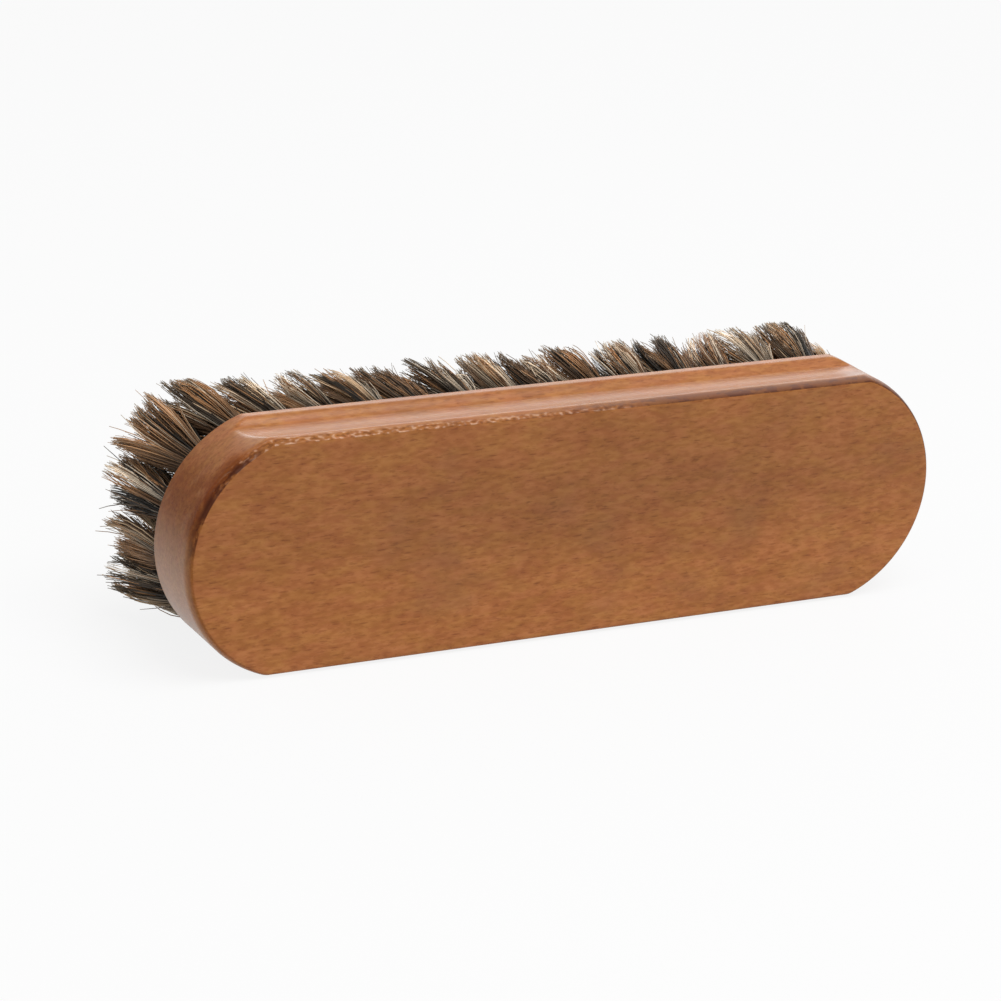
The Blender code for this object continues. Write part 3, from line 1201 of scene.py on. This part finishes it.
    @staticmethod
    def cut(block: bpy.types.Object, cutter_mesh: bpy.types.Mesh) -> None:
        """Cuts a mesh out of the block for good, and removes it.

        Args:
            block: The block's object.
            cutter_mesh: What is cut out.
        """
        cutter = scene_object("cutter", cutter_mesh)
        boolean = block.modifiers.new("cut", "BOOLEAN")
        boolean.operation = "DIFFERENCE"
        boolean.solver = "EXACT"
        boolean.object = cutter
        graph = bpy.context.evaluated_depsgraph_get()
        whole = bpy.data.meshes.new_from_object(block.evaluated_get(graph), depsgraph=graph)
        block.modifiers.clear()
        block.data = whole
        bpy.data.objects.remove(cutter, do_unlink=True)


@dataclass(frozen=True)
class Knot:
    """How the hairs of one tuft are gathered.

    It has each hair's place in the knot and its place once its wisp has pulled it, both in a disc
    of radius 1, the wisp of each hair, the lock of each wisp, and which hairs stray.
    """

    disc: np.ndarray
    spread: np.ndarray
    wisp: np.ndarray
    lock: np.ndarray
    wild: np.ndarray


@dataclass
class HairTuft:
    """One tuft: some hundreds of hairs that start just above their wire, over which the real brush's
    hair is folded, and spread in locks to trimmed tips.
    """

    plan: BrushPlan
    site: TuftSite
    mix: MixedHorsehair
    hairs: int = 600
    hair_radius: float = 0.000115
    girth_range: Span = (0.80, 1.25)
    taper_at: Triple = (0.0, 0.6, 1.0)
    taper: Triple = (1.0, 0.95, 0.55)
    mouth_radius: float = 0.00205
    sunk: float = 0.0080
    sunk_radius: float = 0.00175
    reach_along: float = 0.0058
    reach_out: float = 0.0044
    reach_in: float = 0.0064
    middle_reach: Span = (0.0084, 0.0074)
    fullness: Span = (0.92, 1.08)
    splay: float = 1.60
    locks: int = 6
    wisps: int = 46
    lock_pull: float = 0.16
    wisp_pull: float = 0.42
    pull_range: Span = (0.5, 1.2)
    lock_sway: float = 0.0011
    wisp_sway: float = 0.00055
    fray: float = 0.00040
    fray_power: float = 2.2
    bend: float = 0.00060
    wisp_bend: float = 0.00110
    sway: float = 0.0008
    wild_share: float = 0.12
    wild_fray: float = 0.0019
    wild_length: Span = (0.84, 1.03)
    trim_spread: float = 0.00045
    wisp_trim: float = 0.00085
    wisp_keeps: float = 0.52
    hair_keeps: float = 0.90
    mix_spread: float = 0.55
    side_limit: float = 0.0243
    side_spread: float = 0.0007
    levels: tuple[float, ...] = (0.0, 0.13, 0.30, 0.50, 0.72, 0.88, 1.0)
    strip: Span = (0.12, 0.88)
    cap_height: float = 0.01

    def build(self, material: bpy.types.Material) -> bpy.types.Object:
        """Makes the dressed tuft.

        Args:
            material: The hair's finish.

        Returns:
            The tuft's object, in place.
        """
        rng = np.random.default_rng(self.site.number)
        knot = self.gather(rng)
        paths = self.lay(rng, knot)
        name = self.site.node.replace("tuft", "hair")
        tuft = scene_object(name, self.mesh(name, paths, self.columns(rng, knot)))
        tuft.data.materials.append(material)
        return tuft

    def gather(self, rng: np.random.Generator) -> Knot:
        """Gathers the hairs in wisps, and the wisps in locks.

        Args:
            rng: The tuft's own random numbers.

        Returns:
            The knot.
        """
        disc = self.scatter(rng, self.hairs)
        lock_at = self.scatter(rng, self.locks)
        wisp_at = self.scatter(rng, self.wisps)
        lock = self.nearest(wisp_at, lock_at)
        wisp = self.nearest(disc, wisp_at)
        gathered = wisp_at + (lock_at[lock] - wisp_at) * self.lock_pull
        pull = self.wisp_pull * rng.uniform(*self.pull_range, self.hairs)[:, None]
        spread = disc + (gathered[wisp] - disc) * pull
        wild = rng.uniform(0.0, 1.0, self.hairs) < self.wild_share
        return Knot(disc, spread, wisp, lock, wild)

    @staticmethod
    def scatter(rng: np.random.Generator, count: int) -> np.ndarray:
        """Scatters points in a disc of radius 1.

        Args:
            rng: The tuft's own random numbers.
            count: How many points.

        Returns:
            The points.
        """
        around = rng.uniform(0.0, 2 * math.pi, count)
        out = np.sqrt(rng.uniform(0.0, 1.0, count))
        return np.stack([out * np.cos(around), out * np.sin(around)], 1)

    @staticmethod
    def nearest(points: np.ndarray, centres: np.ndarray) -> np.ndarray:
        """Which centre is nearest to each point."""
        return np.linalg.norm(points[:, None] - centres[None], axis=2).argmin(1)

    def plane_axes(self) -> tuple[np.ndarray, np.ndarray]:
        """Along the ring and away from it, as X and Z directions on the trimmed face."""
        away = Vector((self.site.axes.col[1][0], self.site.axes.col[1][2])).normalized()
        return np.array((-away.y, away.x)), np.array(away)

    def splayed(self, rng: np.random.Generator, knot: Knot) -> np.ndarray:
        """Spreads the tips over the trimmed face.

        Args:
            rng: The tuft's own random numbers.
            knot: How the hairs are gathered.

        Returns:
            X and Z of each tip, from the middle of the tips.
        """
        side, away = self.plane_axes()
        along, across = self.middle_reach
        if self.site.kind is TuftKind.EDGE:
            along = self.reach_along
            across = np.where(knot.spread[:, 1] > 0, self.reach_out, self.reach_in)
        tips = knot.spread[:, :1] * along * side + (knot.spread[:, 1] * across)[:, None] * away
        return tips * rng.uniform(*self.fullness)

    def frayed(self, rng: np.random.Generator, knot: Knot) -> np.ndarray:
        """Moves the tips at random, hair by hair, wisp by wisp and lock by lock.

        Args:
            rng: The tuft's own random numbers.
            knot: How the hairs are gathered.

        Returns:
            X and Z that each tip moves by.
        """
        reach = np.where(knot.wild, self.wild_fray, self.fray)[:, None]
        fray = rng.normal(0.0, 1.0, (self.hairs, 2)) * reach
        fray += rng.normal(0.0, self.wisp_sway, (self.wisps, 2))[knot.wisp]
        return fray + rng.normal(0.0, self.lock_sway, (self.locks, 2))[knot.lock[knot.wisp]]

    def lengths(self, rng: np.random.Generator, knot: Knot) -> np.ndarray:
        """Trims the hairs, a little unevenly.

        Args:
            rng: The tuft's own random numbers.
            knot: How the hairs are gathered.

        Returns:
            Each hair's length as a share of the full length.
        """
        short = np.abs(rng.normal(0.0, self.trim_spread, self.hairs))
        short += np.abs(rng.normal(0.0, self.wisp_trim, self.wisps))[knot.wisp]
        length = 1.0 - short / self.plan.hair_length
        return np.where(knot.wild, length * rng.uniform(*self.wild_length, self.hairs), length)

    def lay(self, rng: np.random.Generator, knot: Knot) -> np.ndarray:
        """Lays each hair from the wire to its tip.

        Args:
            rng: The tuft's own random numbers.
            knot: How the hairs are gathered.

        Returns:
            The hairs' paths, [hair, level, XYZ].
        """
        root = np.array(self.site.root)
        side, away = self.plane_axes()
        splayed = self.splayed(rng, knot)
        lean = np.array(self.site.tip) - root + rng.normal(0.0, self.sway, 2)
        fray = self.frayed(rng, knot)
        bow = rng.normal(0.0, self.bend, (self.hairs, 2))
        bow += rng.normal(0.0, self.wisp_bend, (self.wisps, 2))[knot.wisp]
        length = self.lengths(rng, knot)
        limit = self.side_limit - np.abs(rng.normal(0.0, self.side_spread, self.hairs))

        mouth = self.mouth_radius * (knot.disc[:, :1] * side + knot.disc[:, 1:] * away)
        ways = np.array(self.levels)[None] * length[:, None]
        opened = (1.0 - (1.0 - np.minimum(ways, 1.0)) ** self.splay)[..., None]
        flat = (root + mouth)[:, None] + lean * ways[..., None] + (splayed - mouth)[:, None] * opened
        flat += bow[:, None] * (np.sin(math.pi * ways) * ways)[..., None]
        flat += fray[:, None] * (ways**self.fray_power)[..., None]
        beyond = np.maximum(np.abs(flat[:, -1, 1]) - limit, 0.0) * np.sign(flat[:, -1, 1])
        flat[..., 1] -= beyond[:, None] * np.array(self.levels)
        flat[..., 1] = np.clip(flat[..., 1], -self.side_limit, self.side_limit)

        paths = np.empty((self.hairs, len(self.levels) + 1, 3))
        across, up, along_hole = (np.array(self.site.axes.col[part][:3]) for part in range(3))
        paths[:, 0] = np.array(self.site.axes.translation) - self.sunk * along_hole
        paths[:, 0] += self.sunk_radius * (knot.disc[:, :1] * across + knot.disc[:, 1:] * up)
        paths[:, 1:, 0] = flat[..., 0]
        paths[:, 1:, 1] = self.plan.face + self.plan.hair_length * ways
        paths[:, 1:, 2] = flat[..., 1] + self.plan.axis
        return paths

    def columns(self, rng: np.random.Generator, knot: Knot) -> np.ndarray:
        """Picks each hair's tone: most wisps share their lock's colour, and most hairs their wisp's.

        Args:
            rng: The tuft's own random numbers.
            knot: How the hairs are gathered.

        Returns:
            The column of the mix that each hair wears.
        """
        shares = np.array([colour.share for colour in HairColour])
        shares = shares * np.exp(rng.normal(0.0, self.mix_spread, len(shares)))
        shares = shares / shares.sum()
        tones = self.mix.columns_per_colour
        of_lock = rng.choice(len(shares), self.locks, p=shares)
        of_wisp = rng.choice(len(shares), self.wisps, p=shares)
        keeps = rng.uniform(0.0, 1.0, self.wisps) < self.wisp_keeps
        of_wisp = np.where(keeps, of_lock[knot.lock], of_wisp)
        tone_of_wisp = rng.integers(0, tones, self.wisps)
        alone = rng.choice(len(shares), self.hairs, p=shares)
        follows = (rng.uniform(0.0, 1.0, self.hairs) < self.hair_keeps) & ~knot.wild
        colour = np.where(follows, of_wisp[knot.wisp], alone)
        tone = np.where(follows, tone_of_wisp[knot.wisp], rng.integers(0, tones, self.hairs))
        tone = np.clip(tone + rng.integers(-1, 2, self.hairs), 0, tones - 1)
        return colour * tones + tone

    def mesh(self, name: str, paths: np.ndarray, columns: np.ndarray) -> bpy.types.Mesh:
        """Skins the hairs as closed three-sided tubes.

        Args:
            name: The mesh's name.
            paths: [hair, level, XYZ].
            columns: The column of the mix that each hair wears.

        Returns:
            The mesh, with the column and the way along each hair as attributes, and a map that
            holds every tone of the mix once.
        """
        count, levels, _ = paths.shape
        points = self.tube_points(paths, columns)
        index = np.arange(count * levels * HAIR_SIDES).reshape(count, levels, HAIR_SIDES)
        after = np.roll(index, -1, axis=2)
        quads = np.stack([index[:, :-1], after[:, :-1], after[:, 1:], index[:, 1:]], -1).reshape(-1, 4)
        ends = np.concatenate([index[:, 0, ::-1], index[:, -1]]).reshape(-1, HAIR_SIDES)
        mesh = bpy.data.meshes.new(name)
        mesh.from_pydata(points.reshape(-1, 3).tolist(), [], quads.tolist() + ends.tolist())
        mesh.shade_smooth()
        way = np.linspace(0.0, 1.0, levels)
        shade = np.repeat((columns + 0.5) / self.mix.columns, levels * HAIR_SIDES)
        along = np.tile(np.repeat(way, HAIR_SIDES), count)
        for label, values in (("hair_column", shade), ("hair_along", along)):
            attribute = mesh.attributes.new(label, "FLOAT", "POINT")
            attribute.data.foreach_set("value", values.astype(np.float32))
        self.lay_map(mesh, columns, way)
        return mesh

    def tube_points(self, paths: np.ndarray, columns: np.ndarray) -> np.ndarray:
        """Sets points around each hair's path, closer to it towards the tip.

        Args:
            paths: [hair, level, XYZ].
            columns: The column of the mix that each hair wears, which also sets its thickness.

        Returns:
            The points, [hair, level, side, XYZ].
        """
        step = np.gradient(paths, axis=1)
        step /= np.linalg.norm(step, axis=2, keepdims=True)
        first = np.cross(step, np.array(OFF_HAIRS))
        first /= np.linalg.norm(first, axis=2, keepdims=True)
        second = np.cross(step, first)
        taper = np.interp(np.linspace(0.0, 1.0, paths.shape[1]), self.taper_at, self.taper)
        tones = self.mix.columns_per_colour
        thin, thick = self.girth_range
        girth = self.hair_radius * (thin + (thick - thin) * (columns % tones) / tones)
        radius = (girth[:, None] * taper[None])[:, :, None]
        rings = []
        for side in range(HAIR_SIDES):
            angle = 2 * math.pi * side / HAIR_SIDES
            rings.append(paths + (first * math.cos(angle) + second * math.sin(angle)) * radius)
        return np.stack(rings, 2)

    def lay_map(self, mesh: bpy.types.Mesh, columns: np.ndarray, way: np.ndarray) -> None:
        """Lays a UV map with one upright strip for each tone, which the hairs of that tone share.

        Args:
            mesh: The tuft's mesh.
            columns: The column of the mix that each hair wears.
            way: The way along a hair at each level, from 0 to 1.
        """
        low, high = ((columns + part) / self.mix.columns for part in self.strip)
        quad = np.empty((len(columns), len(way) - 1, HAIR_SIDES, 4, 2))
        quad[..., (0, 3), 0] = low[:, None, None, None]
        quad[..., (1, 2), 0] = high[:, None, None, None]
        quad[..., (0, 1), 1] = way[None, :-1, None, None]
        quad[..., (2, 3), 1] = way[None, 1:, None, None]
        end = np.empty((2, len(columns), HAIR_SIDES, 2))
        end[..., 0, 0], end[..., 1, 0], end[..., 2, 0] = low, high, (low + high) / 2
        end[0, ..., 1] = (0.0, 0.0, self.cap_height)
        end[1, ..., 1] = (1.0, 1.0, 1.0 - self.cap_height)
        uv = np.concatenate([quad.reshape(-1, 2), end.reshape(-1, 2)])
        layer = mesh.uv_layers.new(name="OFBake")
        layer.uv.foreach_set("vector", uv.astype(np.float32).ravel())


@dataclass
class AnchorWires:
    """The flattened wires at the bottom of the holes, over which the real brush's hair is folded."""

    plan: BrushPlan
    span: float = 0.0058
    height: float = 0.0016
    thickness: float = 0.00045
    lift: float = 0.0004
    edge: float = 0.0001
    sharp_angle: float = math.radians(50.0)
    finish: TinnedWire = field(default_factory=TinnedWire)

    def build(self, sites: list[TuftSite]) -> bpy.types.Object:
        """Makes one wire at each site.

        Args:
            sites: The tufts.

        Returns:
            One object with all the wires, in place.
        """
        middle = self.lift + self.height / 2 - self.plan.hole_depth
        bm = boxes_in_holes(sites, (self.thickness, self.span, self.height), middle)
        edges = list(bm.edges)
        bmesh.ops.bevel(bm, geom=edges, offset=self.edge, segments=2, affect="EDGES", profile=0.5)
        mesh = finished_mesh(bm, "anchor_wires")
        mesh.shade_smooth()
        mesh.set_sharp_from_angle(angle=self.sharp_angle)
        mesh.materials.append(self.finish.material())
        return scene_object("anchor_wires", mesh)


@dataclass(frozen=True)
class SoftLamp:
    """A rectangular soft lamp that looks at the brush."""

    name: str
    place: Triple
    size: Point
    watts: float

    def build(self, target: Vector) -> None:
        """Hangs the lamp.

        Args:
            target: Where it is turned to.
        """
        lamp = bpy.data.lights.new(self.name, "AREA")
        lamp.shape = "RECTANGLE"
        lamp.size, lamp.size_y = self.size
        lamp.energy = self.watts
        holder = scene_object(self.name, lamp)
        holder.location = self.place
        holder.rotation_euler = (target - holder.location).to_track_quat("-Z", "Y").to_euler()


@dataclass(frozen=True)
class StudioCamera:
    """The camera as it stood for the photograph, on the brush's left and a little above it.

    Angles are in degrees, and the lens and the sensor in millimetres.
    """

    azimuth: float = 28.907
    elevation: float = 19.665
    roll: float = 3.757
    distance: float = 0.68951
    target: Triple = (-0.01841, -0.0210, 0.03150)
    lens: float = 125.17
    sensor: float = 36.0
    clip: Span = (0.01, 50.0)

    def build(self) -> None:
        """Sets up the camera and makes it the scene's own."""
        turn, rise, roll = (math.radians(angle) for angle in (self.azimuth, self.elevation, self.roll))
        level = math.cos(rise)
        back = Vector((-math.sin(turn) * level, -math.cos(turn) * level, math.sin(rise)))
        right = (-back).cross(Vector((0.0, 0.0, 1.0))).normalized()
        up = right.cross(-back)
        tilted_right = math.cos(roll) * right + math.sin(roll) * up
        tilted_up = math.cos(roll) * up - math.sin(roll) * right
        data = bpy.data.cameras.new("studio_camera")
        data.lens = self.lens
        data.sensor_width = self.sensor
        data.clip_start, data.clip_end = self.clip
        camera = scene_object("studio_camera", data)
        axes = Matrix((tilted_right, tilted_up, back)).transposed().to_4x4()
        camera.matrix_world = Matrix.Translation(Vector(self.target) + back * self.distance) @ axes
        bpy.context.scene.camera = camera


@dataclass
class Studio:
    """The pale floor, the white surroundings and the lamps."""

    floor_half: float = 4.0
    floor_grey: float = 0.62
    floor_glow: float = 0.86
    sky: float = 0.55
    target: Triple = (0.0, 0.0, 0.02)
    lamps: tuple[SoftLamp, ...] = (
        SoftLamp("top_lamp", (0.20, -0.45, 1.25), (1.1, 1.0), 20.0),
        SoftLamp("back_lamp", (0.73, 1.30, 0.55), (1.2, 0.6), 3.4),
    )

    def build(self) -> None:
        """Sets up everything around the brush."""
        self.floor()
        self.surroundings()
        for lamp in self.lamps:
            lamp.build(Vector(self.target))
        bpy.context.scene.view_settings.view_transform = "Standard"

    def floor(self) -> None:
        """A flat floor under the brush, near white to the eye, which keeps the brush's shadow."""
        half = self.floor_half
        mesh = bpy.data.meshes.new("studio_floor")
        corners = [(-half, -half, 0.0), (half, -half, 0.0), (half, half, 0.0), (-half, half, 0.0)]
        mesh.from_pydata(corners, [], [(0, 1, 2, 3)])
        bench = NodeBench(bpy.data.materials.new("studio_floor"))
        grey = (self.floor_grey,) * 3
        matt = bench.node("BsdfDiffuse", {"Color": opaque(grey)}).outputs["BSDF"]
        glow = bench.node("Emission", {"Color": opaque((1.0, 1.0, 1.0)), "Strength": 1.0})
        share = bench.times(bench.seen(), self.floor_glow)
        mixed = bench.node("MixShader", {0: share, 1: matt, 2: glow.outputs["Emission"]})
        mesh.materials.append(bench.finish(mixed.outputs["Shader"]))
        scene_object("studio_floor", mesh)

    def surroundings(self) -> None:
        """A white world to the eye, which lights the brush at a plain level."""
        bench = NodeBench(bpy.data.worlds.new("studio"))
        light = bench.node("Background", {"Strength": bench.between(bench.seen(), self.sky, 1.0)})
        bpy.context.scene.world = bench.finish(light.outputs["Background"], "OutputWorld")


def report(piece: bpy.types.Object) -> None:
    """Reports a finished piece."""
    log.info("%s: %d faces", piece.name, len(piece.data.polygons))


def main() -> None:
    """Builds the dressed brush and the studio around it."""
    logging.basicConfig(level=logging.INFO, format="%(name)s: %(message)s")
    plan = BrushPlan()
    sites = plan.sites()

    StudioCamera().build()
    Studio().build()

    block = WoodBlock(plan).build(sites)
    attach(block, "root")
    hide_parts("wood_block")
    report(block)

    mix = MixedHorsehair()
    hair = mix.material()
    for site in sites:
        tuft = HairTuft(plan, site, mix).build(hair)
        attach(tuft, "root")
        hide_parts(site.node)
        report(tuft)

    wires = AnchorWires(plan).build(sites)
    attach(wires, "root")
    report(wires)


if __name__ == "__main__":
    main()
